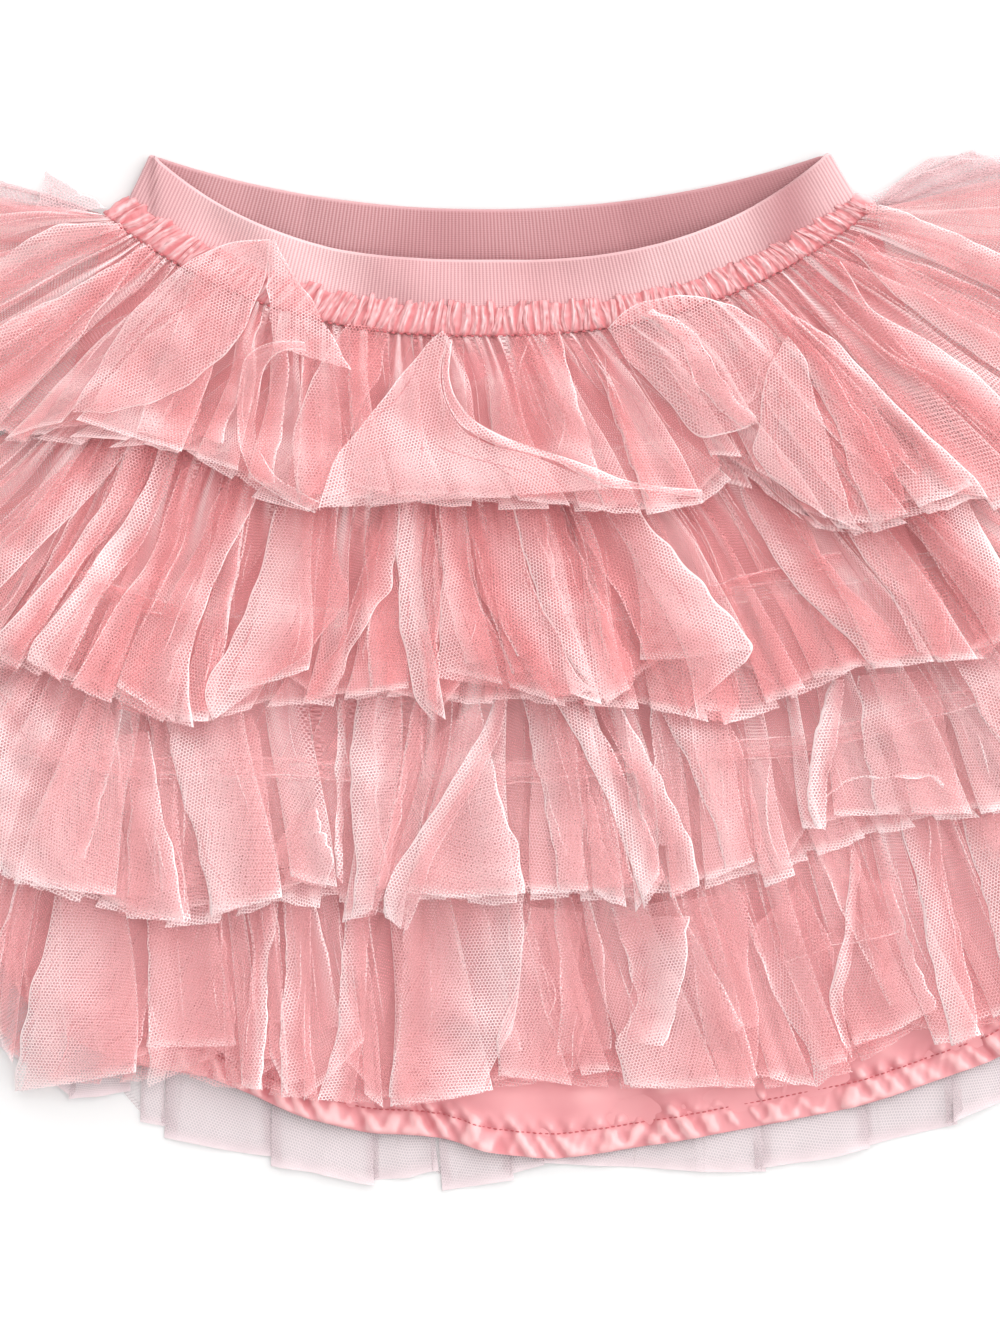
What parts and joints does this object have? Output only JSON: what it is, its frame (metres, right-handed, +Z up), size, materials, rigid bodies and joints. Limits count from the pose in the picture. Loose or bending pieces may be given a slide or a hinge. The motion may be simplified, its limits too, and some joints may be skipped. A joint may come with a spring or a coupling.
{
  "type": "tiered tulle tutu skirt",
  "caption": "Child's pink tutu skirt lying flat, with tiers of gathered tulle over a satin lining, a ribbed elastic waistband and a gathered header.",
  "frame": {"origin": "centre of the bounding box's bottom face, on the surface the skirt lies on", "axes": "+X across the waist to the wearer's left as seen from above, +Y from hem to waistband, +Z up from the surface"},
  "size_m": [0.4444, 0.3638, 0.0334],
  "materials": {
    "elastic": "matt ribbed knit",
    "header": "soft gathered cloth",
    "satin": "satin sheen",
    "tulle": "sheer matt net"
  },
  "bodies": {
    "root": {"waistband": "elastic", "gathered_header": "header", "lining_front": "satin", "lining_back": "satin", "tier_1_front": "tulle", "tier_1_back": "tulle", "tier_2_front": "tulle", "tier_2_back": "tulle", "tier_3_front": "tulle", "tier_3_back": "tulle", "tier_4_front": "tulle", "tier_4_back": "tulle"}
  },
  "joints": []
}
